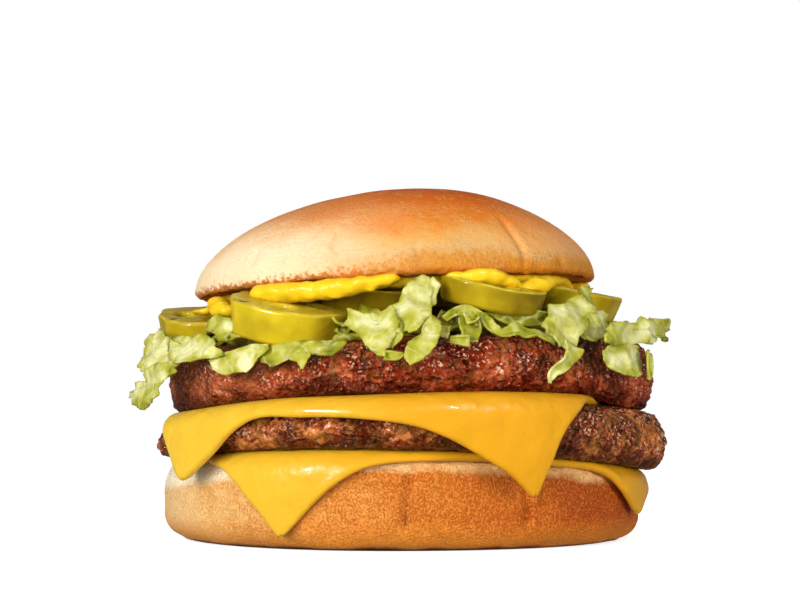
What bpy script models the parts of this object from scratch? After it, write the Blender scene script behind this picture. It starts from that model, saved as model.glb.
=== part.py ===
"""Double cheeseburger, built in layers as the real one is stacked.

From the bottom: bun heel, cheese slice, beef patty, cheese slice, beef patty, a bed of shredded
lettuce, pickled green pepper slices, a layer of mustard, bun crown.
Metres, +Z up, -Y is the front. The origin is the middle of the heel's flat underside.
"""

import math

import bpy
from mathutils import Matrix, Vector

MM = 0.001

# Driving dimensions
HEEL_RADIUS = 51.0 * MM
HEEL_HEIGHT = 17.6 * MM
PATTY_RADIUS = 55.2 * MM
CROWN_RADIUS = 43.4 * MM
CROWN_RISE = 21.8 * MM
CROWN_SEAT = 53.2 * MM  # height of the crown's cut face above the origin
CHEESE_SIDE = 85.5 * MM
CHEESE_THICKNESS = 2.2 * MM
MUSTARD_THICKNESS = 0.9 * MM
LETTUCE_THICKNESS = 3.0 * MM
GAP = 0.4 * MM  # kept between neighbours

# The layers sag at the left and right ends and lean a little to the right.
HEEL_BOW = 3.4 * MM
HEEL_LEAN = 1.1 * MM
CROWN_SLOPE = 0.047  # rise of the crown's cut face for each unit to the right
HEEL_MIDDLE = Vector((0.0, 0.0))
LOWER_MIDDLE = Vector((1.5 * MM, 0.0))
UPPER_MIDDLE = Vector((1.4 * MM, 0.0))
CROWN_MIDDLE = Vector((-1.2 * MM, 0.0))
UPPER_RADIUS = 0.95 * PATTY_RADIUS

DRAPE_BEND = 3.5 * MM  # inner radius where a soft sheet turns down over a rim
DRAPE_CLEAR = 0.9 * MM  # how far outside the rim it then hangs

SEGMENTS = 42
POLE_RINGS = (0.0, 0.42, 0.74)  # flat part of a puck, as shares of its radius


# ---------------------------------------------------------------- layer surfaces

def heel_top(x, y):
    share = x / HEEL_RADIUS
    return HEEL_HEIGHT - HEEL_BOW * share**2 - HEEL_LEAN * share


def lower_bottom(x, y):
    return heel_top(x, y) + CHEESE_THICKNESS + 2 * GAP


def lower_top(x, y):
    """The lower patty is thin at the left and thick at the right."""
    share = x / PATTY_RADIUS
    return lower_bottom(x, y) + (8.1 + 1.3 * share**2 + 2.0 * share) * MM


def upper_bottom(x, y):
    return lower_top(x, y) + CHEESE_THICKNESS + 2 * GAP


def upper_top(x, y):
    """The upper patty dips at the front left, where a pepper slice lies on it."""
    share = x / UPPER_RADIUS
    dip = math.exp(-((x + 22 * MM) ** 2 + (y + 45 * MM) ** 2) / (18 * MM) ** 2)
    return upper_bottom(x, y) + (9.8 + 1.8 * share**2 - 2.4 * dip) * MM


def crown_seat(x, y):
    return CROWN_SEAT + CROWN_SLOPE * x


# ---------------------------------------------------------------- outlines

def bearing(dx, dy):
    """Angle of a direction from the front, positive to the right."""
    return math.atan2(dx, -dy)


def towards(turn):
    """Unit direction at a bearing."""
    return Vector((math.sin(turn), -math.cos(turn)))


def uneven(radius, waves):
    """An outline: radius as a function of bearing, with (amplitude, count, phase) waves."""
    def outline(turn):
        return radius + sum(a * math.cos(n * turn + p) for a, n, p in waves)
    return outline


heel_outline = uneven(HEEL_RADIUS, [(0.3 * MM, 3, 0.4), (0.25 * MM, 5, 2.0)])
lower_outline = uneven(PATTY_RADIUS, [(0.6 * MM, 3, 1.0), (0.4 * MM, 5, 0.3), (0.2 * MM, 8, 2.2)])
upper_outline = uneven(UPPER_RADIUS, [(0.6 * MM, 3, 2.6), (0.4 * MM, 4, 1.1), (0.2 * MM, 9, 0.7)])
crown_outline = uneven(CROWN_RADIUS, [(0.4 * MM, 2, 0.5), (0.25 * MM, 5, 1.2)])
mustard_outline = uneven(39.5 * MM, [(1.4 * MM, 5, 2.1), (1.0 * MM, 8, 0.6)])


def bump(turn, middle, width):
    """1 at the bearing middle, falling smoothly to 0 at width either side."""
    away = abs((turn - middle + math.pi) % (2 * math.pi) - math.pi)
    return 0.5 + 0.5 * math.cos(math.pi * min(away / width, 1.0))


def lettuce_reach(turn):
    """How far the lettuce goes, measured along its surface from the middle."""
    left = 8.0 * MM * bump(turn, math.radians(-88), math.radians(42))
    right = 3.5 * MM * bump(turn, math.radians(82), math.radians(40))
    ragged = 1.6 * MM * math.cos(9 * turn + 1.0) + 1.1 * MM * math.cos(14 * turn + 2.0)
    return 55.5 * MM + left + right + ragged


def lettuce_bend(turn):
    """How steeply the overhanging lettuce turns down: it stands out stiffly at the right."""
    return math.radians(68 - 52 * bump(turn, math.radians(82), math.radians(50)))


def softened_square(side, corner, middle, points=11):
    """Flat points round a melted slice whose edges run out a little and corners are blunt."""
    edge = []
    for quarter in range(4):
        outwards = towards(corner - math.radians(45 - 90 * quarter))
        along = Vector((-outwards.y, outwards.x))
        for i in range(points):
            t = 2 * i / points - 1
            blunt = 1 - 0.03 * t**8
            run_out = 0.045 * (1 - t * t)
            edge.append(middle + side / 2 * blunt * ((1 + run_out) * outwards + t * along))
    return edge


# ---------------------------------------------------------------- mesh helpers

def rounded_profile(top_corner, bottom_corner, wall=0.0, steps=3):
    """(radius, level) points of a unit puck, top pole to bottom pole.

    Its top corner rounds from level 1 down to wall and its bottom corner from -wall to -1;
    the two corners are shares of the radius.
    """
    points = [(ring, 1.0) for ring in POLE_RINGS]
    for i in range(steps + 1):
        turn = math.pi / 2 * i / steps
        points.append((1 - top_corner * (1 - math.sin(turn)), wall + (1 - wall) * math.cos(turn)))
    for i in range(0 if wall else 1, steps + 1):
        turn = math.pi / 2 * i / steps
        points.append((1 - bottom_corner * (1 - math.cos(turn)), -wall - (1 - wall) * math.sin(turn)))
    return points + [(ring, -1.0) for ring in reversed(POLE_RINGS)]


def dome_profile(steps=8, lip=0.05, tuck=0.02, fall=1.2):
    """(radius, level) points of a unit dome, level 1 at its top and -1 on its flat cut face.

    Its widest place is lip above the cut face, and the edge tucks in below it. A fall above 1
    makes its shoulders lower than an ellipse's.
    """
    points = []
    for i in range(steps + 1):
        turn = math.pi / 2 * i / steps
        rise = max(math.cos(turn), 0.0) ** fall
        points.append((math.sin(turn), 2 * (lip + (1 - lip) * rise) - 1))
    points.append((1 - tuck, -1.0))
    return points + [(ring, -1.0) for ring in reversed(POLE_RINGS)]


def evaluated_mesh(obj):
    """The object's mesh with its modifiers applied; the object itself is removed."""
    graph = bpy.context.evaluated_depsgraph_get()
    mesh = bpy.data.meshes.new_from_object(obj.evaluated_get(graph))
    bpy.data.objects.remove(obj)
    return mesh


def turned(profile, segments):
    """A profile of (radius, level) points turned once about Z, as a closed mesh."""
    edges = [(i, i + 1) for i in range(len(profile) - 1)]
    line = bpy.data.meshes.new("profile")
    line.from_pydata([(radius, 0.0, level) for radius, level in profile], edges, [])
    guide = bpy.data.objects.new("profile", line)
    bpy.context.scene.collection.objects.link(guide)
    screw = guide.modifiers.new("Turn", "SCREW")
    screw.axis = "Z"
    screw.steps = screw.render_steps = segments
    screw.use_merge_vertices = True
    screw.merge_threshold = 0.0001
    return evaluated_mesh(guide)


def reshape(mesh, place):
    for vertex in mesh.vertices:
        vertex.co = place(*vertex.co)


def material(name, colour, roughness):
    made = bpy.data.materials.new(name)
    made.use_nodes = True
    shader = made.node_tree.nodes["Principled BSDF"]
    shader.inputs["Base Color"].default_value = (*colour, 1.0)
    shader.inputs["Roughness"].default_value = roughness
    shader.inputs["Metallic"].default_value = 0.0
    made.diffuse_color = (*colour, 1.0)
    return made


def add_part(name, mesh, finish, origin):
    """An object of the stack whose mesh, given in the stack's frame, hangs on its own origin."""
    mesh.name = name
    mesh.transform(Matrix.Translation(-origin))
    mesh.materials.clear()
    mesh.materials.append(finish)
    mesh.shade_smooth()
    mesh.set_sharp_from_angle(angle=math.radians(40))
    part = bpy.data.objects.new(name, mesh)
    part.location = origin
    part.parent = stack
    collection.objects.link(part)
    return part


# ---------------------------------------------------------------- the food

def puck(name, profile, middle, outline, bottom, top, finish, segments=SEGMENTS):
    """A round layer between two surfaces, out to an uneven outline."""
    mesh = turned(profile, segments)

    def place(x, y, level):
        reach = outline(bearing(x, y))
        px = middle.x + x * reach
        py = middle.y + y * reach
        low, high = bottom(px, py), top(px, py)
        return Vector((px, py, low + (level + 1) / 2 * (high - low)))

    reshape(mesh, place)
    return add_part(name, mesh, finish, Vector((*middle, bottom(*middle))))


def soft_sheet(name, edge, middle, outline, support, thickness, bend, inner, finish):
    """A soft sheet lying on a layer and hanging over its rim.

    edge is the sheet's outline as flat points, anticlockwise round middle. Its rings lie at the
    inner shares of the rim, then where the sheet bends, then at the edge. thickness is a function
    of place and bend one of bearing: the steepest the sheet turns down past the rim.
    """
    rings = len(inner) + 5
    faces = [(i / rings, 1.0) for i in range(rings + 1)]
    mesh = turned(faces + [(ring, -1.0) for ring, _ in reversed(faces)], len(edge))

    def place(x, y, level):
        ring = round(math.hypot(x, y) * rings)
        spoke = round(math.atan2(y, x) * len(edge) / (2 * math.pi)) % len(edge)
        offset = edge[spoke] - middle
        ray = offset.normalized()
        turn = bearing(*ray)
        rim = outline(turn) - DRAPE_BEND + DRAPE_CLEAR
        wanted = [0.0]
        wanted += [share * rim for share in inner]
        wanted += [rim + DRAPE_BEND * math.pi / 2 * i / 3 for i in range(4)]
        wanted.append(offset.length)
        distance = min(wanted[ring], offset.length * (1 - 0.02 * (rings - ring)))

        over = max(distance - rim, 0.0)
        steepest = bend(turn)
        swing = min(over / DRAPE_BEND, steepest)
        hanging = max(over - DRAPE_BEND * steepest, 0.0)
        ground = middle + ray * min(distance, rim)
        lift = (level + 1) / 2 * thickness(*(middle + ray * distance))
        radius = DRAPE_BEND + lift
        run = radius * math.sin(swing) + hanging * math.cos(steepest)
        drop = radius * (1 - math.cos(swing)) + hanging * math.sin(steepest)
        spot = ground + ray * run
        return Vector((*spot, support(*ground) + GAP + lift - drop))

    reshape(mesh, place)
    return add_part(name, mesh, finish, Vector((*middle, support(*middle) + GAP)))


def cheese_slice(name, corner, shift, middle, outline, support, finish):
    """A softened square slice with a corner at the bearing corner, its middle moved by shift."""
    return soft_sheet(
        name,
        softened_square(CHEESE_SIDE, corner, middle + shift),
        middle,
        outline,
        support,
        lambda x, y: CHEESE_THICKNESS,
        lambda turn: math.pi / 2,
        (0.36, 0.72),
        finish,
    )


class PepperSlice:
    """A thick cross slice of pickled pepper with open seed chambers round its core.

    x, y, radius and thickness are in mm. It lies parallel to the crown's cut face but for its
    lean, outwards and down, and its roll, to one side, both in degrees.
    """

    chambers = 3
    sides = 20

    def __init__(self, x, y, radius, thickness, lean, roll, spin):
        self.centre = Vector((x, y)) * MM
        self.radius = radius * MM
        self.thickness = thickness * MM
        self.spin = math.radians(spin)
        outwards = self.centre.normalized()
        tilt = -outwards * math.tan(math.radians(lean))
        tilt += Vector((-outwards.y, outwards.x)) * math.tan(math.radians(roll))
        self.slope = tilt + Vector((CROWN_SLOPE, 0.0))
        roof = crown_seat(*self.centre) - MUSTARD_THICKNESS - 2 * GAP
        self.top = roof - tilt.length * self.radius

    def underside(self, x, y):
        """Height of its lower face over a point, or over its rim nearest to the point."""
        lying = Vector((x, y)) - self.centre
        if lying.length > self.radius:
            lying = lying.normalized() * self.radius
        return self.top - self.thickness + self.slope.dot(lying)

    def near(self, x, y, margin):
        return (Vector((x, y)) - self.centre).length < self.radius + margin

    def build(self, name, finish):
        bpy.ops.mesh.primitive_cylinder_add(vertices=self.sides, radius=1.0, depth=1.0)
        disc = bpy.context.active_object
        disc.data.transform(Matrix.Diagonal((self.radius, self.radius, self.thickness, 1.0)))
        skin = disc.modifiers.new("Skin edge", "BEVEL")
        skin.width = 0.7 * MM
        skin.segments = 1
        drills = []
        for i in range(self.chambers):
            turn = self.spin + 2 * math.pi * i / self.chambers
            bpy.ops.mesh.primitive_cylinder_add(vertices=8, radius=0.21 * self.radius, depth=0.02)
            drill = bpy.context.active_object
            drill.location = 0.46 * self.radius * Vector((math.cos(turn), math.sin(turn), 0.0))
            cut = disc.modifiers.new("Chamber", "BOOLEAN")
            cut.operation = "DIFFERENCE"
            cut.solver = "EXACT"
            cut.object = drill
            drills.append(drill)
        mesh = evaluated_mesh(disc)
        for drill in drills:
            bpy.data.objects.remove(drill)

        def lobed(x, y, z):
            turn = math.atan2(y, x) - self.spin
            share = 1 - 0.025 + 0.025 * math.cos(self.chambers * turn)
            return Vector((x * share, y * share, z))

        reshape(mesh, lobed)
        part = add_part(name, mesh, finish, Vector((0.0, 0.0, 0.0)))
        facing = Vector((*-self.slope, 1.0))
        part.location = (*self.centre, self.top - self.thickness / 2)
        part.rotation_euler = facing.to_track_quat("Z", "Y").to_euler()
        return part


# x, y, radius, thickness, lean, roll, spin
PEPPER_SLICES = [
    PepperSlice(-40.0, -6.0, 13.0, 5.8, 4.0, -3.0, 10),  # left end
    PepperSlice(-22.0, -36.0, 12.6, 6.2, 9.0, 0.0, 35),  # front left
    PepperSlice(-1.0, -22.0, 11.6, 4.4, 1.0, 0.0, 80),  # set back, in the middle
    PepperSlice(18.0, -37.5, 11.4, 4.6, 7.0, -8.0, 50),  # front right
    PepperSlice(36.0, -13.0, 12.0, 5.6, 7.0, -1.0, 20),  # right end
    PepperSlice(29.0, 23.0, 12.4, 5.6, 2.0, 1.0, 65),  # back right
    PepperSlice(2.0, 37.0, 12.0, 5.4, 2.5, -1.0, 0),  # back
    PepperSlice(-25.0, 27.0, 12.5, 5.2, 1.5, 1.0, 40),  # back left
]


def lettuce_height(x, y):
    """Thickness of the bed: it gives way under each pepper slice that lies on it."""
    height = LETTUCE_THICKNESS
    for pepper in PEPPER_SLICES:
        if pepper.near(x, y, 7.0 * MM):
            room = pepper.underside(x, y) - upper_top(x, y) - 2.4 * GAP
            height = min(height, room)
    return max(height, 0.6 * MM)


def lettuce_bed(finish):
    """The shreds as one body: a ragged bed on the upper patty that hangs over its rim."""
    spokes = 50
    edge = []
    for i in range(spokes):
        ray = Vector((math.cos(2 * math.pi * i / spokes), math.sin(2 * math.pi * i / spokes)))
        edge.append(UPPER_MIDDLE + ray * lettuce_reach(bearing(*ray)))
    return soft_sheet(
        "lettuce",
        edge,
        UPPER_MIDDLE,
        upper_outline,
        upper_top,
        lettuce_height,
        lettuce_bend,
        (0.34, 0.62, 0.83),
        finish,
    )


def crown(finish):
    return puck(
        "bun_crown",
        dome_profile(),
        CROWN_MIDDLE,
        crown_outline,
        crown_seat,
        lambda x, y: crown_seat(x, y) + CROWN_RISE,
        finish,
    )


def mustard(finish):
    return puck(
        "mustard",
        rounded_profile(0.02, 0.02, steps=1),
        CROWN_MIDDLE,
        mustard_outline,
        lambda x, y: crown_seat(x, y) - GAP - MUSTARD_THICKNESS,
        lambda x, y: crown_seat(x, y) - GAP,
        finish,
        32,
    )


def build():
    crust = material("baked_crust", (0.72, 0.38, 0.12), 0.45)
    beef = material("grilled_beef", (0.20, 0.075, 0.035), 0.4)
    cheese = material("melted_cheese", (0.90, 0.45, 0.03), 0.25)
    leaf = material("iceberg_lettuce", (0.60, 0.66, 0.22), 0.4)
    pepper = material("pickled_pepper", (0.40, 0.36, 0.03), 0.25)
    sauce = material("yellow_mustard", (0.90, 0.66, 0.03), 0.25)

    puck(
        "bun_heel",
        rounded_profile(0.075, 0.13, wall=0.3),
        HEEL_MIDDLE,
        heel_outline,
        lambda x, y: 0.0,
        heel_top,
        crust,
    )
    cheese_slice(
        "cheese_lower",
        math.radians(-23),
        Vector((-4.1 * MM, -2.4 * MM)),
        HEEL_MIDDLE,
        heel_outline,
        heel_top,
        cheese,
    )
    rim = rounded_profile(0.09, 0.07)
    puck("patty_lower", rim, LOWER_MIDDLE, lower_outline, lower_bottom, lower_top, beef)
    cheese_slice(
        "cheese_upper",
        math.radians(31),
        Vector((0.3 * MM, -14.1 * MM)),
        LOWER_MIDDLE,
        lower_outline,
        lower_top,
        cheese,
    )
    puck("patty_upper", rim, UPPER_MIDDLE, upper_outline, upper_bottom, upper_top, beef)
    lettuce_bed(leaf)
    for number, pepper_slice in enumerate(PEPPER_SLICES, 1):
        pepper_slice.build(f"pepper_slice_{number}", pepper)
    mustard(sauce)
    crown(crust)


for old in list(bpy.data.objects):
    bpy.data.objects.remove(old)
collection = bpy.data.collections.new("double_cheeseburger")
bpy.context.scene.collection.children.link(collection)
stack = bpy.data.objects.new("burger", None)
collection.objects.link(stack)
build()
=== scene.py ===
"""The looks of a double cheeseburger, built round its packed layers.

From the bottom: bun heel, cheese, beef patty, cheese, beef patty, shredded lettuce, pickled green
pepper slices, mustard, bun crown. Metres, +Z up, -Y is the front. Sizes marked mm are millimetres.
"""

import math
import random

import bmesh
import bpy
from mathutils import Matrix, Vector, noise


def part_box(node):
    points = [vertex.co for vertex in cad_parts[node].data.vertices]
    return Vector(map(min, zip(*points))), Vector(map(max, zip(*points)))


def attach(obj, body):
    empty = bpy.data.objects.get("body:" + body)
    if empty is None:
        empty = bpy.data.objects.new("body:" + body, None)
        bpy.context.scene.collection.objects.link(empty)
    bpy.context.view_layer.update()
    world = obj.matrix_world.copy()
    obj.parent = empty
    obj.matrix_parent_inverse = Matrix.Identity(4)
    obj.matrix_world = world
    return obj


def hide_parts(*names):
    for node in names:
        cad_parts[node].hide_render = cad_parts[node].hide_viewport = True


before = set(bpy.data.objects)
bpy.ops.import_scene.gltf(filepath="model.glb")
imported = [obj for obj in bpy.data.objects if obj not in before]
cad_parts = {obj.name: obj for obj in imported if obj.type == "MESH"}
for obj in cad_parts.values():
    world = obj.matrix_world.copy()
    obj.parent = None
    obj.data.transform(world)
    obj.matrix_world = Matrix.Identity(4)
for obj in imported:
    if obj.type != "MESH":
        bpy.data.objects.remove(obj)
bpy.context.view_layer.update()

MM = 0.001

# Driving dimensions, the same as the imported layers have
HEEL_RADIUS = 51.0 * MM
HEEL_HEIGHT = 17.6 * MM
PATTY_RADIUS = 55.2 * MM
UPPER_RADIUS = 0.95 * PATTY_RADIUS
CROWN_RADIUS = 43.4 * MM
CROWN_RISE = 21.8 * MM
CROWN_SEAT = 53.2 * MM
CROWN_SLOPE = 0.047
CHEESE_THICKNESS = 2.2 * MM
SLICE_THICKNESS = 1.8 * MM  # as melted
GAP = 0.4 * MM
HEEL_BOW = 3.4 * MM
HEEL_LEAN = 1.1 * MM
DRAPE_BEND = 3.5 * MM
DRAPE_CLEAR = 0.9 * MM

HEEL_MIDDLE = Vector((0.0, 0.0))
LOWER_MIDDLE = Vector((1.5 * MM, 0.0))
UPPER_MIDDLE = Vector((1.4 * MM, 0.0))
CROWN_MIDDLE = Vector((-1.2 * MM, 0.0))


# ---- layer surfaces

def heel_top(x, y):
    share = x / HEEL_RADIUS
    return HEEL_HEIGHT - HEEL_BOW * share**2 - HEEL_LEAN * share


def lower_bottom(x, y):
    return heel_top(x, y) + CHEESE_THICKNESS + 2 * GAP


def left_sag(x):
    """How far the lower patty's thin left end has sunk under the cheese and the upper patty."""
    return 1.5 * MM * smooth_step(-18 * MM, -50 * MM, x)


def lower_top(x, y):
    share = x / PATTY_RADIUS
    return lower_bottom(x, y) + (8.1 + 1.3 * share**2 + 2.0 * share) * MM - left_sag(x)


def upper_bottom(x, y):
    return lower_top(x, y) + CHEESE_THICKNESS + 2 * GAP


def upper_rest(x, y):
    """The upper patty's underside, which bends down onto the lower one past the cheese's end."""
    sag = 0.7 * MM * math.exp(-(((x + 4 * MM) / (24 * MM)) ** 2))
    return upper_bottom(x, y) - sag - 1.8 * MM * smooth_step(33 * MM, 46 * MM, x)


def upper_top(x, y):
    share = x / UPPER_RADIUS
    dip = math.exp(-((x + 22 * MM) ** 2 + (y + 45 * MM) ** 2) / (18 * MM) ** 2)
    return upper_bottom(x, y) + (9.8 + 1.8 * share**2 - 2.4 * dip) * MM + left_sag(x)


def crown_seat(x, y):
    return CROWN_SEAT + CROWN_SLOPE * x


# ---- outlines

def bearing(dx, dy):
    """Angle of a direction from the front, positive to the right."""
    return math.atan2(dx, -dy)


def towards(turn):
    """Unit direction at a bearing."""
    return Vector((math.sin(turn), -math.cos(turn)))


def uneven(radius, waves):
    """An outline: radius as a function of bearing, with (amplitude, count, phase) waves."""
    def outline(turn):
        return radius + sum(a * math.cos(n * turn + p) for a, n, p in waves)
    return outline


heel_outline = uneven(HEEL_RADIUS, [(0.3 * MM, 3, 0.4), (0.25 * MM, 5, 2.0)])
lower_outline = uneven(PATTY_RADIUS, [(0.6 * MM, 3, 1.0), (0.4 * MM, 5, 0.3), (0.2 * MM, 8, 2.2)])
upper_outline = uneven(UPPER_RADIUS, [(0.6 * MM, 3, 2.6), (0.4 * MM, 4, 1.1), (0.2 * MM, 9, 0.7)])
crown_outline = uneven(CROWN_RADIUS, [(0.4 * MM, 2, 0.5), (0.25 * MM, 5, 1.2)])


# ---- small helpers

def smooth_step(low, high, value):
    share = min(max((value - low) / (high - low), 0.0), 1.0)
    return share * share * (3 - 2 * share)


def lumps(spot, size, shift=0.0):
    """Smooth noise from -1 to 1 whose lumps are about size mm across; spot is in mm."""
    return noise.noise(spot / size + Vector((shift, 0.7 * shift, 1.3 * shift)))


def grains(spot, size, shift=0.0):
    """1 in the middle of each packed grain of that size in mm, falling to 0 between grains."""
    near = noise.voronoi(spot / size + Vector((shift, shift, shift)))[0]
    return 1.0 - min(near[0] / max(near[1], 1e-6), 1.0)


def quarter_turns(steps):
    """Angles from 0 to a right angle in even steps."""
    return [math.pi / 2 * i / steps for i in range(steps + 1)]


def spun(profile, segments):
    """A closed body from (radius, level) points, both ends on the axis, spun once about Z."""
    body = bmesh.new()
    line = [body.verts.new((radius, 0.0, level)) for radius, level in profile]
    edges = [body.edges.new(ends) for ends in zip(line, line[1:])]
    bmesh.ops.spin(body, geom=line + edges, axis=(0.0, 0.0, 1.0), angle=2 * math.pi, steps=segments,
        use_merge=True)
    bmesh.ops.remove_doubles(body, verts=body.verts, dist=1e-6)
    bmesh.ops.recalc_face_normals(body, faces=body.faces)
    return body


def reshape(body, place):
    for vertex in body.verts:
        vertex.co = place(vertex.co)


def push_out(body, push):
    """Moves each vertex along its normal by push(place in mm, normal), in mm."""
    body.normal_update()
    for vertex, way in [(vertex, vertex.normal.copy()) for vertex in body.verts]:
        vertex.co += way * (push(vertex.co / MM, way) * MM)


def piece(name, body, finishes, slot, *nodes):
    """A finished piece of the stack from a bmesh, in place of those CAD nodes."""
    mesh = bpy.data.meshes.new(name)
    body.to_mesh(mesh)
    body.free()
    for finish in finishes:
        mesh.materials.append(finish)
    mesh.shade_smooth()
    made = bpy.data.objects.new(name, mesh)
    bpy.context.scene.collection.objects.link(made)
    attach(made, "root")
    if nodes:
        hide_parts(*nodes)
    return made


def path_point(points, share):
    """A point on a smooth curve through the points, at a share of its course."""
    course = min(max(share, 0.0), 1.0) * (len(points) - 1)
    i = min(int(course), len(points) - 2)
    t = course - i
    before = points[max(i - 1, 0)]
    start, end = points[i], points[i + 1]
    after = points[min(i + 2, len(points) - 1)]
    bend = 2 * before - 5 * start + 4 * end - after
    sway = 3 * start - before - 3 * end + after
    return start + 0.5 * t * ((end - before) + t * (bend + t * sway))


# ---- materials

def rgb(code):
    """Linear colour from sRGB hex digits."""
    channels = [int(code[i:i + 2], 16) / 255 for i in (0, 2, 4)]
    linear = [c / 12.92 if c <= 0.04045 else ((c + 0.055) / 1.055) ** 2.4 for c in channels]
    return (*linear, 1.0)


def per(size):
    """Pattern scale that makes features about size mm across."""
    return 1.0 / (size * MM)


def add(tree, kind, inputs, stops=None, **settings):
    """Adds a shader node with its settings.

    An input is a value, or a node whose first output it takes. From and To are pairs of limits.
    """
    made = tree.nodes.new("ShaderNode" + kind)
    if kind == "Mix":
        made.data_type = "RGBA"
    for name, value in settings.items():
        setattr(made, name, value)
    if stops:
        ramp = made.color_ramp
        while len(ramp.elements) < len(stops):
            ramp.elements.new(0.5)
        for element, (position, shade) in zip(ramp.elements, stops):
            element.position = position
            element.color = rgb(shade)
    for name in ("From", "To"):
        if name in inputs:
            inputs[name + " Min"], inputs[name + " Max"] = inputs.pop(name)
    for name, value in inputs.items():
        if isinstance(name, int):
            socket = made.inputs[name]
        else:
            socket = next(s for s in made.inputs if s.name == name and s.enabled)
        if isinstance(value, bpy.types.Node):
            value = next(s for s in value.outputs if s.enabled)
        if isinstance(value, bpy.types.NodeSocket):
            tree.links.new(value, socket)
        else:
            socket.default_value = value
    return made


def new_material(name, roughness, **shader_values):
    """A material with its shader set, and its tree and the object's own coordinates."""
    made = bpy.data.materials.new(name)
    made.use_nodes = True
    tree = made.node_tree
    shader = tree.nodes["Principled BSDF"]
    shader.inputs["Roughness"].default_value = roughness
    for socket, value in shader_values.items():
        shader.inputs[socket.replace("_", " ")].default_value = value
    place = tree.nodes.new("ShaderNodeTexCoord").outputs["Object"]
    return made, tree, shader, place


def wire(shader, socket, source):
    output = next(s for s in source.outputs if s.enabled)
    shader.id_data.links.new(output, shader.inputs[socket])


def summed(tree, total, *parts):
    """The total plus each part's value times its weight."""
    for value, weight in parts:
        total = add(tree, "Math", {0: value, 1: weight, 2: total}, operation="MULTIPLY_ADD")
    return total


def product(tree, value, *factors):
    for factor in factors:
        value = add(tree, "Math", {0: value, 1: factor}, operation="MULTIPLY")
    return value


def tinted(tree, colour, hue, value, start, end, share=1.0):
    """The colour with up to that share of a hue mixed in, as the value goes from start to end."""
    mask = add(tree, "MapRange", {"Value": value, "From": (start, end), "To Max": share})
    return add(tree, "Mix", {"Factor": mask, "A": colour, "B": hue})


def raised(tree, shader, relief, depth, strength=1.0):
    """Gives the finish a relief, depth mm high."""
    bump = add(tree, "Bump", {"Height": relief, "Distance": depth * MM, "Strength": strength})
    wire(shader, "Normal", bump)


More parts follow.
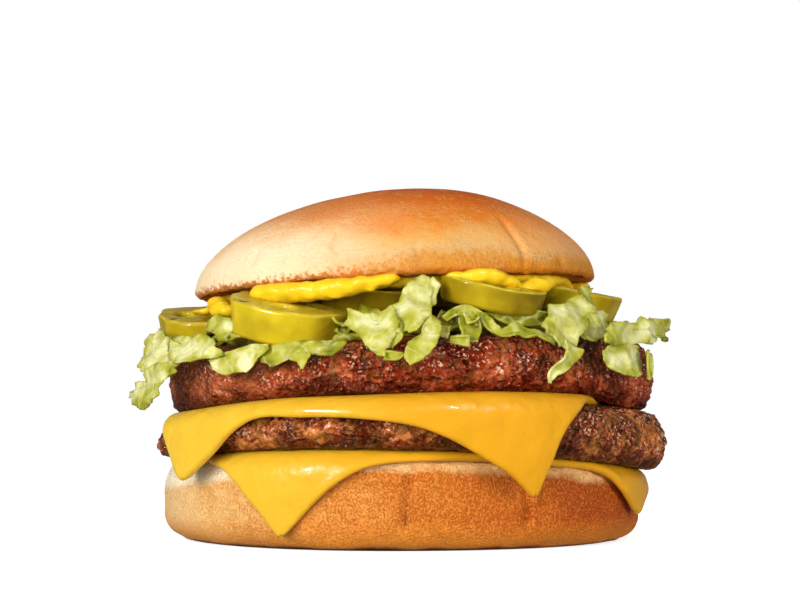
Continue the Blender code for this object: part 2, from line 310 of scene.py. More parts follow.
# Soft bun crust, baked: the top browned deepest and the flank paler. The left is almost white and the
# right more toasted, partly the crust's own colour and partly painted light at the left, where the lamp
# is, and painted shade at the right. Satin, with fine pores, light crackled flecks on top and crumbs
# toasted at the rim.
def crown_crust():
    made, tree, shader, place = new_material("baked_bun_crust_crown", 0.5, IOR=1.45,
        Specular_IOR_Level=0.12)
    axes = add(tree, "SeparateXYZ", {"Vector": place})
    tilt = summed(tree, axes.outputs["Z"], (axes.outputs["X"], -CROWN_SLOPE))
    level = add(tree, "MapRange", {"Value": tilt, "From": (CROWN_SEAT, CROWN_SEAT + CROWN_RISE)})
    patches = add(tree, "TexNoise", {"Vector": place, "Scale": per(13.0), "Detail": 4.0})
    mottle = add(tree, "TexNoise", {"Vector": place, "Scale": per(2.0), "Detail": 5.0})
    toast = summed(tree, level, (patches, 0.34), (mottle, 0.16))
    toast = add(tree, "Math", {0: toast, 1: 0.25}, operation="SUBTRACT")
    pale_side = add(tree, "ValToRGB", {"Fac": toast},
        stops=[(0.00, "efd2a6"), (0.30, "f3dab2"), (0.50, "f5cb96"), (0.70, "eda462"),
        (1.00, "df822e")])
    toasted_side = add(tree, "ValToRGB", {"Fac": toast},
        stops=[(0.00, "c07a1c"), (0.12, "c98626"), (0.22, "d0a262"), (0.36, "dea152"), (0.52, "e27c14"),
        (0.75, "dc680a"), (1.00, "cc5604")])
    # painted light and shade: the left takes the paler ramp, where the lamp is, and the right the more
    # toasted one
    across = add(tree, "MapRange", {"Value": axes.outputs["X"], "From": (-28 * MM, 4 * MM)})
    across = summed(tree, across, (patches, 0.5))
    across = add(tree, "Math", {0: across, 1: 0.25}, operation="SUBTRACT", use_clamp=True)
    colour = add(tree, "Mix", {"Factor": across, "A": pale_side, "B": toasted_side})

    # the far right is rosier and rougher
    rosy = add(tree, "MapRange", {"Value": axes.outputs["X"], "From": (16 * MM, 36 * MM), "To Max": 0.7})
    rosy_high = add(tree, "MapRange", {"Value": level, "From": (0.10, 0.30)})
    rosy = product(tree, rosy, rosy_high)
    colour = add(tree, "Mix", {"Factor": rosy, "A": colour, "B": rgb("f0a468")})

    # fine pores
    pores = add(tree, "TexNoise", {"Vector": place, "Scale": per(0.5), "Detail": 2.0})
    pore = add(tree, "MapRange", {"Value": pores, "From": (0.50, 0.36), "To Max": 0.45})
    browned = add(tree, "MapRange", {"Value": toast, "From": (0.40, 0.75), "To Min": 0.25})
    browned = add(tree, "Math", {0: browned, 1: rosy}, operation="MAXIMUM")
    pore = product(tree, pore, browned)
    colour = add(tree, "Mix", {"Factor": pore, "A": colour, "B": rgb("b55a18")})

    # light crackled flecks where the top is browned
    stretched = add(tree, "Mapping", {"Vector": place, "Scale": (1.0, 1.0, 0.42)})
    wander = add(tree, "TexNoise", {"Vector": stretched, "Scale": per(1.25), "Detail": 3.0})
    fleck = add(tree, "Math", {0: wander, 1: 0.5}, operation="SUBTRACT")
    fleck = add(tree, "Math", {0: fleck}, operation="ABSOLUTE")
    fleck = add(tree, "MapRange", {"Value": fleck, "From": (0.034, 0.006)})
    broken = add(tree, "TexNoise", {"Vector": place, "Scale": per(3.2), "Detail": 2.0})
    broken = add(tree, "MapRange", {"Value": broken, "From": (0.46, 0.60)})
    high = add(tree, "MapRange", {"Value": level, "From": (0.30, 0.60)})
    fleck = product(tree, fleck, broken, high, across)
    light_fleck = product(tree, fleck, 0.95)
    colour = add(tree, "Mix", {"Factor": light_fleck, "A": colour, "B": rgb("f3bd6e")})

    # toasted crumbs, dense at the rim and thinning out above it
    crumbs = add(tree, "TexNoise", {"Vector": place, "Scale": per(0.75), "Detail": 4.0})
    climb = add(tree, "MapRange", {"Value": across, "From": (0.2, 1.0), "To": (0.10, 0.28)})
    low = add(tree, "Math", {0: level, 1: climb}, operation="DIVIDE")
    thin_out = add(tree, "MapRange", {"Value": low, "From": (0.05, 1.0), "To": (0.30, 0.64)})
    speckle = add(tree, "Math", {0: crumbs, 1: thin_out}, operation="SUBTRACT")
    speckle = add(tree, "MapRange", {"Value": speckle, "From Max": 0.22, "To Max": 0.85})
    colour = add(tree, "Mix", {"Factor": speckle, "A": colour, "B": rgb("c97a20")})
    ragged = summed(tree, level, (crumbs, -0.16))
    colour = tinted(tree, colour, rgb("b8641a"), ragged, -0.030, -0.070, 0.75)
    wire(shader, "Base Color", colour)

    relief = summed(tree, mottle, (fleck, 0.5), (pore, -0.8), (speckle, 0.5))
    upright = add(tree, "Mapping", {"Vector": place, "Scale": (1.0, 1.0, 0.28)})
    puckers = add(tree, "TexNoise", {"Vector": upright, "Scale": per(2.2), "Detail": 2.0})
    relief = summed(tree, relief, (puckers, 0.8))
    raised(tree, shader, relief, 0.26)
    return made


# Soft bun crust from the tin's side and floor: matt, dense with tiny burst bubbles, pale along the cut
# and browned where it stood on the tin. It runs from pale at the left to browned at the right, partly
# its own colour and partly painted light at the left, where the lamp is, and painted shade at the right.
def heel_crust():
    made, tree, shader, place = new_material("baked_bun_crust_heel", 0.6, IOR=1.45,
        Specular_IOR_Level=0.12)
    axes = add(tree, "SeparateXYZ", {"Vector": place})
    patches = add(tree, "TexNoise", {"Vector": place, "Scale": per(8.0), "Detail": 4.0})
    mottle = add(tree, "TexNoise", {"Vector": place, "Scale": per(1.6), "Detail": 4.0})
    # painted light and shade: paler towards the left, where the lamp is, darker towards the right
    side = add(tree, "MapRange", {"Value": axes.outputs["X"], "From": (-52 * MM, 52 * MM)})
    toast = summed(tree, side, (patches, 0.42), (mottle, 0.24))
    toast = add(tree, "Math", {0: toast, 1: 0.33}, operation="SUBTRACT")
    colour = add(tree, "ValToRGB", {"Fac": toast},
        stops=[(0.00, "f2c78a"), (0.15, "efb970"), (0.34, "da8838"), (0.58, "c86c1e"), (0.80, "b85214"),
        (1.00, "a84410")])

    # burst bubbles: dense small brown pits between lighter ridges
    squat = add(tree, "Mapping", {"Vector": place, "Scale": (1.0, 1.0, 0.75)})
    sponge = add(tree, "TexNoise", {"Vector": squat, "Scale": per(0.32), "Detail": 3.0})
    pit = add(tree, "MapRange", {"Value": sponge, "From": (0.50, 0.34)})
    browned = add(tree, "MapRange", {"Value": toast, "From": (0.12, 0.40), "To": (0.10, 0.40)})
    dark_pit = product(tree, pit, browned)
    colour = add(tree, "Mix", {"Factor": dark_pit, "A": colour, "B": rgb("a34a12")})
    colour = tinted(tree, colour, rgb("eaa862"), sponge, 0.52, 0.68, 0.3)

    # pale crumb along the cut, widest and palest at the left, partly its own pale crumb and partly
    # painted light that lifts the shadow falling there
    bow = product(tree, axes.outputs["X"], axes.outputs["X"])
    bow = summed(tree, axes.outputs["Z"], (bow, HEEL_BOW / HEEL_RADIUS**2),
        (axes.outputs["X"], HEEL_LEAN / HEEL_RADIUS), (patches, 2.8 * MM), (mottle, 2.2 * MM))
    left = add(tree, "MapRange", {"Value": side, "From": (0.30, 0.05), "To Max": 2.4 * MM})
    bow = add(tree, "Math", {0: bow, 1: left}, operation="ADD")
    cut = HEEL_HEIGHT + 2.5 * MM
    crumb = add(tree, "ValToRGB", {"Fac": side}, stops=[(0.0, "fdeecb"), (0.34, "fce4b6"),
        (0.52, "fbc880"), (1.0, "f6be78")])
    colour = tinted(tree, colour, crumb, bow, cut - 2.6 * MM, cut - 0.9 * MM)

    # painted light: lighter again where the side turns under, standing in for light from the floor below
    colour = tinted(tree, colour, rgb("f0902e"), axes.outputs["Z"], 6 * MM, 1.5 * MM, 0.7)

    # dark ring where it stood on the hot tin
    foot = summed(tree, axes.outputs["Z"], (patches, -1.4 * MM))
    colour = tinted(tree, colour, rgb("5c230c"), foot, 0.25 * MM, -0.35 * MM)
    wire(shader, "Base Color", colour)

    relief = summed(tree, mottle, (pit, -0.7), (sponge, 0.9))
    raised(tree, shader, relief, 0.22)
    return made


# White bread crumb on a cut face, lightly toasted: open bubbles, matt and pale.
def bread_crumb(name, shades):
    made, tree, shader, place = new_material(name, 0.8, Specular_IOR_Level=0.2)
    holes = add(tree, "TexVoronoi", {"Vector": place, "Scale": per(1.8)})
    shade = add(tree, "TexNoise", {"Vector": place, "Scale": per(6.0), "Detail": 4.0})
    colour = add(tree, "ValToRGB", {"Fac": shade}, stops=list(zip((0.35, 0.55, 0.75), shades)))
    wire(shader, "Base Color", colour)
    raised(tree, shader, holes, 0.6, 0.8)
    return made


# Minced beef, seared: fine crumbs of meat in red and olive browns with pale specks that are partly fat
# and partly painted glints, painted shade darkening it towards the underside, and wet, so each crumb
# carries its own small glint.
def seared_beef(name, browns, olive, rosy):
    made, tree, shader, place = new_material(name, 0.22, IOR=1.45, Specular_IOR_Level=0.60,
        Specular_Tint=(1.0, 0.76, 0.58, 1.0))
    height = add(tree, "Attribute", {}, attribute_name="height")
    patches = add(tree, "TexNoise", {"Vector": place, "Scale": per(7.0), "Detail": 3.0})
    clumps = add(tree, "TexNoise", {"Vector": place, "Scale": per(3.0), "Detail": 2.0})
    crumbs = add(tree, "TexNoise", {"Vector": place, "Scale": per(1.05), "Detail": 2.5})
    shade = summed(tree, patches, (clumps, 0.6), (crumbs, 1.5))
    shade = add(tree, "MapRange", {"Value": shade, "From": (1.20, 1.95)})
    dark, middle, light = browns
    colour = add(tree, "ValToRGB", {"Fac": shade}, stops=[(0.10, dark), (0.48, middle), (0.80, light)])
    tint = add(tree, "TexNoise", {"Vector": place, "Scale": per(3.6), "Detail": 3.0})
    colour = tinted(tree, colour, rgb("8a5c14"), tint, 0.53, 0.66, olive)
    colour = tinted(tree, colour, rgb("84260f"), tint, 0.48, 0.34, 0.7)

    # less seared at the left end: rosier and smoother, and lighter, partly as painted light from the lamp
    # at the left
    axes = add(tree, "SeparateXYZ", {"Vector": place})
    left = add(tree, "MapRange", {"Value": axes.outputs["X"], "From": (-14 * MM, -46 * MM),
        "To Max": rosy})
    colour = add(tree, "Mix", {"Factor": left, "A": colour, "B": rgb("b8643c")})

    # pale specks, partly fat and partly painted glints, on the upper half where the light falls, most of
    # them in the juicy spots, and painted shade darkening the underside
    specks = add(tree, "TexNoise", {"Vector": place, "Scale": per(0.7), "Detail": 1.0})
    fat = add(tree, "MapRange", {"Value": specks, "From": (0.57, 0.65), "To Max": 0.95})
    seared = summed(tree, height.outputs["Fac"], (patches, 0.9))
    upper = add(tree, "MapRange", {"Value": seared, "From": (0.62, 0.95)})
    fat = product(tree, fat, upper)
    juicy = add(tree, "MapRange", {"Value": tint, "From": (0.53, 0.44), "To": (0.15, 1.0)})
    fat = product(tree, fat, juicy)
    colour = add(tree, "Mix", {"Factor": fat, "A": colour, "B": rgb("f2c4a0")})
    # painted shade: darker towards the underside
    colour = tinted(tree, colour, rgb(dark), seared, 0.80, 0.45, 0.75)
    wire(shader, "Base Color", colour)

    # juicy spots shine, and the rest is nearly matt
    dry = add(tree, "MapRange", {"Value": tint, "From": (0.44, 0.56), "To": (0.12, 0.45)})
    wire(shader, "Roughness", dry)

    # fatty patches run smooth over larger lumps, and the rest is grainy
    wet = add(tree, "MapRange", {"Value": patches, "From": (0.56, 0.48), "To": (0.35, 1.0)})
    relief = summed(tree, crumbs, (specks, 0.4))
    relief = product(tree, relief, wet)
    calm = summed(tree, 1.0, (left, -0.5))
    relief = product(tree, relief, calm)
    relief = summed(tree, relief, (clumps, 1.2))
    raised(tree, shader, relief, 1.9)
    return made


# Processed cheese, melted: smooth and shining with a deep yellow, light passing a little way in,
# yellower at the left and a deeper orange towards the right, partly its own colour and partly painted
# light from the lamp at the left.
def melted_cheese():
    made, tree, shader, place = new_material("melted_processed_cheese", 0.34, IOR=1.45,
        Specular_IOR_Level=0.22, Subsurface_Weight=0.25, Subsurface_Radius=(2.2, 0.9, 0.15),
        Subsurface_Scale=1.0 * MM, Coat_Weight=0.30, Coat_Roughness=0.06)
    patches = add(tree, "TexNoise", {"Vector": place, "Scale": per(16.0), "Detail": 2.0})
    axes = add(tree, "SeparateXYZ", {"Vector": place})
    # partly painted light: yellower towards the left, where the lamp is, deeper orange towards the right
    side = add(tree, "MapRange", {"Value": axes.outputs["X"], "From": (-60 * MM, 30 * MM)})
    depth = summed(tree, side, (patches, 0.35))
    colour = add(tree, "ValToRGB", {"Fac": depth},
        stops=[(0.18, "e8c238"), (0.55, "deac28"), (0.85, "d89b1a"), (1.0, "d99a16")])
    wire(shader, "Base Color", colour)
    swell = add(tree, "TexNoise", {"Vector": place, "Scale": per(4.5), "Detail": 2.5})
    raised(tree, shader, swell, 0.7, 0.9)
    return made


# Iceberg lettuce, shredded: crisp thin leaf, pale towards the rib and yellow-green at the torn
# edge, soft veins and blisters, waxy and moist. Its tone says how green each shred is.
def iceberg_leaf():
    made, tree, shader, place = new_material("iceberg_lettuce_leaf", 0.38, IOR=1.4,
        Specular_IOR_Level=0.3, Subsurface_Weight=0.3, Subsurface_Radius=(1.2, 1.4, 0.4),
        Subsurface_Scale=0.8 * MM)
    tone = add(tree, "Attribute", {}, attribute_name="tone")
    patches = add(tree, "TexNoise", {"Vector": place, "Scale": per(4.0), "Detail": 4.0})
    shade = summed(tree, tone.outputs["Fac"], (patches, 2.2))
    shade = add(tree, "Math", {0: shade, 1: 1.02}, operation="SUBTRACT", use_clamp=True)
    colour = add(tree, "ValToRGB", {"Fac": shade},
        stops=[(0.0, "dad89a"), (0.24, "c4c070"), (0.46, "adaa3c"), (0.74, "95941e"), (1.0, "767612")])
    wander = add(tree, "TexNoise", {"Vector": place, "Scale": per(5.0), "Detail": 1.0})
    vein = add(tree, "Math", {0: wander, 1: 0.5}, operation="SUBTRACT")
    vein = add(tree, "Math", {0: vein}, operation="ABSOLUTE")
    vein = add(tree, "MapRange", {"Value": vein, "From": (0.06, 0.0), "To Max": 0.35},
        interpolation_type="SMOOTHSTEP")
    colour = add(tree, "Mix", {"Factor": vein, "A": colour, "B": rgb("d4d286")})
    wire(shader, "Base Color", colour)
    blisters = add(tree, "TexNoise", {"Vector": place, "Scale": per(3.0), "Detail": 1.5})
    relief = summed(tree, blisters, (vein, 0.3))
    raised(tree, shader, relief, 0.9, 0.8)
    return made


# Pickled green pepper: olive skin dulled by vinegar and wet, so it shines.
def pickled_skin():
    made, tree, shader, place = new_material("pickled_pepper_skin", 0.30, IOR=1.4,
        Specular_IOR_Level=0.25, Coat_Weight=0.12, Coat_Roughness=0.08)
    # the attribute holds how yellow each slice is, with painted light lightening each slice towards its
    # left
    ripe = add(tree, "Attribute", {}, attribute_name="ripe")
    patches = add(tree, "TexNoise", {"Vector": place, "Scale": per(9.0), "Detail": 3.0})
    shade = summed(tree, ripe.outputs["Fac"], (patches, 0.9))
    colour = add(tree, "ValToRGB", {"Fac": shade},
        stops=[(0.26, "745d08"), (0.56, "9c820e"), (0.90, "d0b61c")])
    wire(shader, "Base Color", colour)
    swell = add(tree, "TexNoise", {"Vector": place, "Scale": per(5.0), "Detail": 2.0})
    raised(tree, shader, swell, 0.9, 0.7)
    return made


# The pepper's cut flesh: paler and a little translucent, with a wet grain.
def pickled_flesh():
    made, tree, shader, place = new_material("pickled_pepper_flesh", 0.30, IOR=1.4,
        Specular_IOR_Level=0.35, Subsurface_Weight=0.15, Subsurface_Radius=(1.0, 0.9, 0.2),
        Subsurface_Scale=0.8 * MM)
    patches = add(tree, "TexNoise", {"Vector": place, "Scale": per(3.0), "Detail": 4.0})
    colour = add(tree, "ValToRGB", {"Fac": patches},
        stops=[(0.30, "ab9014"), (0.52, "c0a820"), (0.72, "d2bc48")])
    wire(shader, "Base Color", colour)
    raised(tree, shader, patches, 0.5, 0.8)
    return made


# Yellow mustard: a smooth wet paste, vivid lemon yellow, with soft white highlights.
def yellow_mustard():
    made, tree, shader, place = new_material("yellow_mustard", 0.34, IOR=1.42, Specular_IOR_Level=0.3,
        Subsurface_Weight=0.2, Subsurface_Radius=(1.5, 1.0, 0.2), Subsurface_Scale=0.8 * MM,
        Coat_Weight=0.12, Coat_Roughness=0.08)
    patches = add(tree, "TexNoise", {"Vector": place, "Scale": per(5.0), "Detail": 3.0})
    colour = add(tree, "ValToRGB", {"Fac": patches},
        stops=[(0.32, "e6b812"), (0.55, "eec41c"), (0.72, "f4d230")])
    wire(shader, "Base Color", colour)
    grain = add(tree, "TexNoise", {"Vector": place, "Scale": per(2.4), "Detail": 3.0})
    raised(tree, shader, grain, 0.6, 0.6)
    return made


# ---- buns

def seen_flat(spot):
    """A place squeezed towards the front, so that a crease holds however far out its points are."""
    return Vector((spot.x, 0.3 * spot.y, spot.z))


def crease_depth(spot, creases):
    """How deep, in mm, the creases go at a place in mm. A crease is (points, width, depth)."""
    deepest = 0.0
    spot = seen_flat(spot)
    for points, width, depth in creases:
        for start, end in zip(points, points[1:]):
            line = end - start
            share = min(max((spot - start).dot(line) / line.length_squared, 0.0), 1.0)
            away = (spot - start - share * line).length / width
            if away < 2.0:
                deepest = max(deepest, depth * math.exp(-2.5 * away * away))
    return deepest


def crease(width, depth, *points):
    return ([seen_flat(Vector(point)) for point in points], width, depth)


CROWN_CREASES = [crease(1.1, 1, (-13, -37.5, 62.5), (-13.8, -38.5, 60.4), (-13.2, -39.6, 58)),
    crease(1, 0.8, (-13.4, -39.9, 57.2), (-13, -40.6, 55.4)),
    crease(1.1, 0.6, (-29.5, -29.5, 58.8), (-30, -30, 56.6)),
    crease(1.1, 1, (20.5, -30, 66), (22.6, -33, 62), (24.4, -35.4, 58.5)),
    crease(1, 0.8, (24.4, -35.4, 58.5), (24.6, -36.4, 55.2)),
    crease(1, 0.7, (32.5, -27.5, 57.6), (33, -28, 55.8)),
    crease(1.1, 0.5, (3, -42, 58.5), (3.6, -43, 55.6)),
    crease(1.1, 0.8, (-20, 38, 60), (-22, 37, 57), (-21.5, 38, 55)),
    crease(1.1, 0.8, (18, 36, 62), (17, 38, 58))]

HEEL_CREASES = [crease(1, 1.5, (1.4, -51.2, 14.5), (1, -51.4, 10), (0.6, -51.2, 5)),
    crease(0.9, 0.9, (-7.5, -50.8, 12), (-3.5, -51, 12.6), (0.5, -51.2, 11.8)),
    crease(1, 1, (24, -45.2, 12.5), (24.4, -45.2, 8), (24, -45.2, 5)),
    crease(0.9, 0.5, (27, -43.4, 13), (27.6, -43.2, 9)),
    crease(0.9, 0.5, (48.3, -17, 10.5), (48.6, -16.5, 5)),
    crease(1, 0.45, (-38.5, -34, 10.5), (-39, -33.8, 6)), crease(1, 0.7, (-30, 41.5, 13), (-29, 42, 6)),
    crease(1, 0.7, (16, 48.4, 13), (17, 48.2, 5))]


def crown_profile():
    """(radius, level) of the crown: its dome, a small lip at its widest, then its flat cut face."""
    steps, lip, tuck, fall = 100, 0.05, 0.02, 1.2
    points = []
    for turn in quarter_turns(steps):
        rise = max(math.cos(turn), 0.0) ** fall
        points.append((math.sin(turn), 2 * (lip + (1 - lip) * rise) - 1))
    for share in (0.35, 0.7, 0.9):
        points.append((1 - tuck * share * share, 2 * lip * (1 - share) - 1))
    points += [(1 - tuck, -1.0), (0.965, -1.0)]
    return points + [(ring / 12, -1.0) for ring in range(11, -1, -1)]


def crown_rim_share(spot):
    """1 at the crown's cut edge, falling to 0 about 3 mm above it; spot is in mm."""
    above = spot.z - crown_seat(spot.x * MM, 0.0) / MM
    return 1.0 - smooth_step(0.4, 3.0, above)


def bun_crown():
    body = spun(crown_profile(), segments=480)

    def place(co):
        level = (co.z + 1) / 2
        reach = crown_outline(bearing(co.x, co.y))
        x = CROWN_MIDDLE.x + co.x * reach
        y = CROWN_MIDDLE.y + co.y * reach
        fuller = -1.1 * MM * math.sin(math.pi * level) * smooth_step(0.2, -0.9, co.x)
        x += fuller + 1.6 * MM * smooth_step(0.6, 1.0, level)
        return Vector((x, y, crown_seat(x, y) + level * CROWN_RISE))

    def dough(spot, way):
        level = 0.45 * lumps(spot, 22.0, 1.0) + 0.16 * lumps(spot, 8.0, 2.0)
        level -= crease_depth(spot, CROWN_CREASES)
        rim = crown_rim_share(spot)
        ragged = 0.35 * lumps(spot, 3.6, 3.0) + 0.28 * lumps(spot, 1.5, 4.0)
        return level + rim * ragged

    reshape(body, place)
    push_out(body, dough)
    for face in body.faces:
        face.material_index = 1 if face.normal.z < -0.9 else 0
    finishes = [crown_crust(), bread_crumb("toasted_bread_crumb_crown", ("cc8038", "a85a20", "8a4014"))]
    return piece("bun_crown_baked", body, finishes, "bun", "bun_crown")


def heel_profile():
    """(radius, level) of the heel, level 1 on its top: soft corners and an almost upright wall."""
    top_corner, bottom_corner, wall, steps = 0.055, 0.13, 0.3, 14
    points = [(ring / 16, 1.0) for ring in range(15)]
    for turn in quarter_turns(steps):
        points.append((1 - top_corner * (1 - math.sin(turn)), wall + (1 - wall) * math.cos(turn)))
    points += [(1.0, wall - 2 * wall * i / 12) for i in range(1, 12)]
    for turn in quarter_turns(steps):
        level = -wall - (1 - wall) * math.sin(turn)
        points.append((1 - bottom_corner * (1 - math.cos(turn)), level))
    return points + [(ring / 10, -1.0) for ring in range(8, -1, -1)]


def bun_heel():
    body = spun(heel_profile(), segments=460)

    def place(co):
        reach = heel_outline(bearing(co.x, co.y))
        x, y = co.x * reach, co.y * reach
        return Vector((x, y, (co.z + 1) / 2 * heel_top(x, y)))

    def dough(spot, way):
        level = 0.35 * lumps(spot, 16.0, 5.0) + 0.22 * lumps(spot, 6.0, 6.0)
        level += 0.10 * lumps(spot, 1.3, 7.0)
        level -= crease_depth(spot, HEEL_CREASES)
        below_cut = heel_top(spot.x * MM, 0.0) / MM - spot.z
        rough_cut = 1.0 - smooth_step(0.3, 2.2, below_cut)
        level += rough_cut * (0.30 * lumps(spot, 2.6, 8.0) + 0.22 * lumps(spot, 1.1, 9.0))
        return level if spot.z > 0.4 else 0.0

    reshape(body, place)
    push_out(body, dough)
    for vertex in body.verts:
        vertex.co.z = max(vertex.co.z, 0.0)
    for face in body.faces:
        face.material_index = 1 if face.normal.z > 0.93 else 0
    finishes = [heel_crust(), bread_crumb("soft_bread_crumb_heel", ("fbe6bc", "f2cf96", "dca060"))]
    return piece("bun_heel_baked", body, finishes, "bun", "bun_heel")


# ---- beef

SINK = 1.2 * MM  # how far a patty settles into the cheese below it
LUMP_ROOM = 0.9 * MM  # kept for the lumps at its side


def patty_profile(top_corner=0.09, bottom_corner=0.07, steps=22):
    """(radius, level) of a patty: level 1 on top, rounded all the way down its side."""
    points = [(1 - top_corner) * share for share in (0, 0.15, 0.3, 0.44, 0.57, 0.68)]
    points = [(radius, 1.0) for radius in points]
    points += [((1 - top_corner) * (0.75 + 0.25 * i / 12), 1.0) for i in range(12)]
    for turn in quarter_turns(steps):
        points.append((1 - top_corner * (1 - math.sin(turn)), math.cos(turn)))
    for turn in quarter_turns(steps)[1:]:
        points.append((1 - bottom_corner * (1 - math.cos(turn)), -math.sin(turn)))
    flat = 1 - bottom_corner
    points += [(flat * (1 - 0.2 * i / 8), -1.0) for i in range(1, 9)]
    return points + [(flat * share, -1.0) for share in (0.7, 0.55, 0.4, 0.2, 0)]


def beef_patty(name, node, middle, outline, bottom, top, finish, lump, seed):
    body = spun(patty_profile(), segments=760)
    height = body.verts.layers.float.new("height")
    for vertex in body.verts:
        vertex[height] = (vertex.co.z + 1) / 2

    def place(co):
        reach = outline(bearing(co.x, co.y)) - LUMP_ROOM
        x = middle.x + co.x * reach
        y = middle.y + co.y * reach
        low, high = bottom(x, y) - SINK, top(x, y)
        return Vector((x, y, low + (co.z + 1) / 2 * (high - low)))

    def meat(spot, way):
        level = lump * (lumps(spot, 11.0, seed) + 0.6 * lumps(spot, 5.0, seed + 1))
        level += 0.50 * lumps(spot, 2.6, seed + 2)
        level += 0.62 * (grains(spot + 0.8 * lumps(spot, 2.0, seed) * way, 1.9, seed) - 0.4)
        level += 0.30 * lumps(spot, 1.1, seed + 3)
        crack = abs(lumps(spot, 5.5, seed + 4))
        level -= 0.55 * (1 - smooth_step(0.0, 0.09, crack))
        flat = smooth_step(0.80, 0.97, abs(way.z))
        return level * (1 - 0.6 * flat)

    reshape(body, place)
    push_out(body, meat)
    return piece(name, body, [finish], "beef", node)


# ---- cheese

EDGE_ROWS = (0.0, 0.12, 0.35, 0.7, 1.15, 1.7)  # mm in from a slice's edge, for its rounding
ROWS = 124
HALF_SLICE = 42.5 * MM


def row_place(row):
    """From -1 to 1: rows crowd towards both edges so that the edge comes out round."""
    mirrored = row > ROWS / 2
    step = ROWS - row if mirrored else row
    if step < len(EDGE_ROWS):
        inwards = EDGE_ROWS[step] * MM
    else:
        rest = HALF_SLICE - EDGE_ROWS[-1] * MM
        steps = ROWS / 2 - len(EDGE_ROWS) + 1
        inwards = EDGE_ROWS[-1] * MM + rest * (step - len(EDGE_ROWS) + 1) / steps
    place = inwards / HALF_SLICE - 1
    return -place if mirrored else place


def slice_point(sides, middle, u, v):
    """Flat place in mm of a slice's point from its two shares, each -1 to 1.

    The four sides are lists of points, anticlockwise: right, back, left and front.
    """
    ring = max(abs(u), abs(v))
    if ring == 0:
        return middle
    if abs(u) >= abs(v):
        side, t = (sides[0], v / ring) if u > 0 else (sides[2], -v / ring)
    else:
        side, t = (sides[1], -u / ring) if v > 0 else (sides[3], u / ring)
    edge = path_point(side, (t + 1) / 2)
    blunt = 1 - 0.035 * abs(t) ** 11
    return middle + ring * blunt * (edge - middle)


def cheese_slice(name, node, corners, bends, middle, outline, support, melt, finish):
    """A slice melted over a round layer, as arcs and hanging parts of true length.

    corners are flat points in mm, anticlockwise from the front right one, and bends the points
    that each side passes on its way. melt gives each place's extra movement.
    """
    sides = []
    for i, bend in enumerate(bends):
        course = [corners[i], *bend, corners[(i + 1) % 4]]
        sides.append([Vector(point) for point in course])
    centre = sum((Vector(corner) for corner in corners), Vector((0.0, 0.0))) / 4
    body = bmesh.new()
    round_layer = body.verts.layers.float.new("round")
    bmesh.ops.create_grid(body, x_segments=ROWS, y_segments=ROWS, size=1.0)
    thickness = SLICE_THICKNESS
    rounding = 0.55 * thickness

    for vertex in body.verts:
        u = row_place(round((vertex.co.x + 1) / 2 * ROWS))
        v = row_place(round((vertex.co.y + 1) / 2 * ROWS))
        flat = slice_point(sides, centre, u, v)
        vertex.co = Vector((flat.x, flat.y, 0.0)) * MM
        inwards = (1 - max(abs(u), abs(v))) * HALF_SLICE
        share = min(inwards / rounding, 1.0)
        vertex[round_layer] = math.sqrt(max(1 - (1 - share) ** 2, 0.0))
    bmesh.ops.solidify(body, geom=list(body.faces), thickness=thickness)
    bmesh.ops.recalc_face_normals(body, faces=body.faces)
    upper = max(vertex.co.z for vertex in body.verts)
    lower = min(vertex.co.z for vertex in body.verts)
    level = (upper + lower) / 2

    def place(vertex):
        fullness = 0.04 + 0.96 * vertex[round_layer]
        lift = thickness / 2 * (1 + (fullness if vertex.co.z > level else -fullness))
        offset = vertex.co.xy
        distance = offset.length
        ray = offset.normalized() if distance > 0 else Vector((0.0, -1.0))
        turn = bearing(*ray)
        rim = outline(turn) - DRAPE_BEND + DRAPE_CLEAR
        over = max(distance - rim, 0.0)
        swing = min(over / DRAPE_BEND, math.pi / 2)
        hanging = max(over - DRAPE_BEND * math.pi / 2, 0.0)
        ground = middle + ray * min(distance, rim)
        radius = DRAPE_BEND + lift
        run = radius * math.sin(swing)
        drop = radius * (1 - math.cos(swing)) + hanging
        spot = ground + ray * run
        settled = Vector((*spot, support(*ground) + 0.25 * GAP + lift - drop))
        return settled + melt(hanging, over, ray, settled)

    moved = [(vertex, place(vertex)) for vertex in body.verts]
    for vertex, spot in moved:
        vertex.co = spot
    bmesh.ops.recalc_face_normals(body, faces=body.faces)
    return piece(name, body, [finish], "cheese", node)


# Flat corners in mm from the middle of the layer below, front right corner first, and the points
# that the right, back, left and front sides pass
LOWER_CORNERS = ((54.2, -25.4), (19.4, 53.7), (-46.0, 14.0), (-29.3, -60.8))
LOWER_BENDS = (((52.4, -16), (50.6, -2), (42.5, 22)), ((-14, 37),),
    ((-43.8, -10), (-38.9, -30.6), (-34.1, -40.9), (-32, -49.4)),
    ((-18.5, -56.4), (-8.7, -52.8), (5.2, -50.6), (16.8, -46.8), (29.2, -40.2), (37.3, -33.6),
    (45.6, -29.8)))
UPPER_CORNERS = ((31.7, -67.0), (41.0, 8.0), (-30.6, 37.2), (-54.2, -42.2))
UPPER_BENDS = (((31.2, -57.8), (31.2, -49.5), (34.6, -39.5), (39.5, -20)), ((5, 26),),
    ((-38.5, 8), (-43, -17), (-50.3, -29.6)), ((-42.7, -45.9), (-31.1, -48.2), (-20.8, -54.3),
    (-9.5, -58.2), (3.9, -60.8), (15.3, -63.4), (24.5, -64.9)))


def outward(ray, distance, rise=0.0):
    return Vector((ray.x * distance, ray.y * distance, rise)) * MM


def lower_melt(hanging, over, ray, spot):
    """Clings to the heel's side and runs down a little at each tip."""
    ripple = 0.35 * lumps(spot / MM, 13.0, 31.0) + 0.22 * lumps(spot / MM, 4.6, 33.0)
    ripple *= smooth_step(0.0, 4.0, over / MM)
    cling = 0.5 * smooth_step(2.0, 9.0, hanging / MM)
    return outward(ray, ripple - cling)


